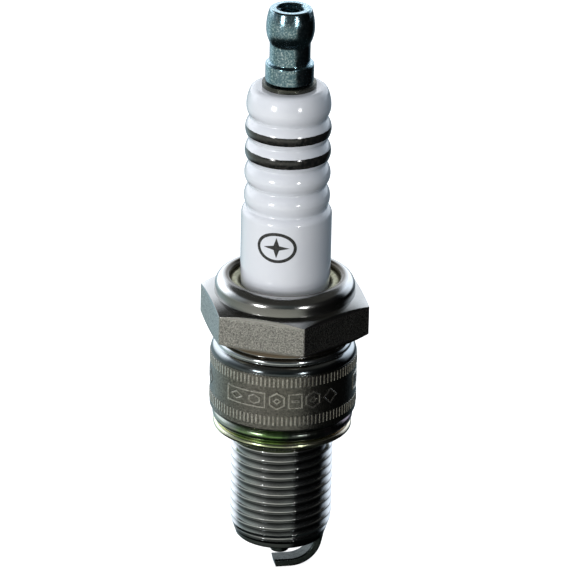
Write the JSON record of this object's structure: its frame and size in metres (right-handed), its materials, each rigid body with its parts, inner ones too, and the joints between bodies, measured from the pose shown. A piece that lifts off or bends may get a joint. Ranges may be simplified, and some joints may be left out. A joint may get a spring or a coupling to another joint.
{
  "type": "spark plug",
  "caption": "Long-reach spark plug with ribbed glazed insulator, screw-on terminal nut, crimped hexagon shell, folded captive gasket and one bent ground electrode.",
  "frame": {"origin": "centre of the gasket's bearing face, on the thread's axis, where the plug seats on a cylinder head", "axes": "+Z along the axis to the terminal nut, +X towards the ground electrode's leg, -Y the side that the picture was taken from"},
  "size_m": [0.0228, 0.0232, 0.0811],
  "materials": {
    "zinc_plate": "bright blue-clear zinc plate over turned steel",
    "stud_steel": "dull plated steel",
    "glazed_alumina": "white alumina under a clear glossy glaze",
    "copper_glass": "fired copper and glass mix",
    "resistor_mix": "fired carbon and glass mix",
    "nickel_alloy": "drawn nickel alloy, satin",
    "copper": "plain drawn copper",
    "plated_shell": "nickel-plated steel, bright where turned and satin where milled or rolled",
    "chromate_gasket": "zinc-plated sheet with a yellow-green chromate film",
    "packing_steel": "soft steel wire and sheet with a pale yellow film",
    "talc": "pressed white powder"
  },
  "bodies": {
    "plug": {"terminal_stud": "stud_steel", "insulator": "glazed_alumina", "upper_glass_seal": "copper_glass", "resistor": "resistor_mix", "lower_glass_seal": "copper_glass", "center_electrode": "nickel_alloy", "copper_core": "copper", "metal_shell": "plated_shell", "ground_electrode": "nickel_alloy", "upper_packing_ring": "packing_steel", "talc_filling": "talc", "lower_packing_ring": "packing_steel", "seat_packing_washer": "packing_steel"},
    "terminal_nut": {"terminal_nut": "zinc_plate"},
    "gasket": {"gasket": "chromate_gasket"}
  },
  "joints": [
    {"name": "nut_unscrew", "type": "slide", "parent": "plug", "child": "terminal_nut", "axis": [0, 0, 1], "range_m": [0, 0.01]},
    {"name": "gasket_turn", "type": "hinge", "parent": "plug", "child": "gasket", "pos_m": [0, 0, 0.00143], "axis": [0, 0, 1], "continuous": true}
  ]
}
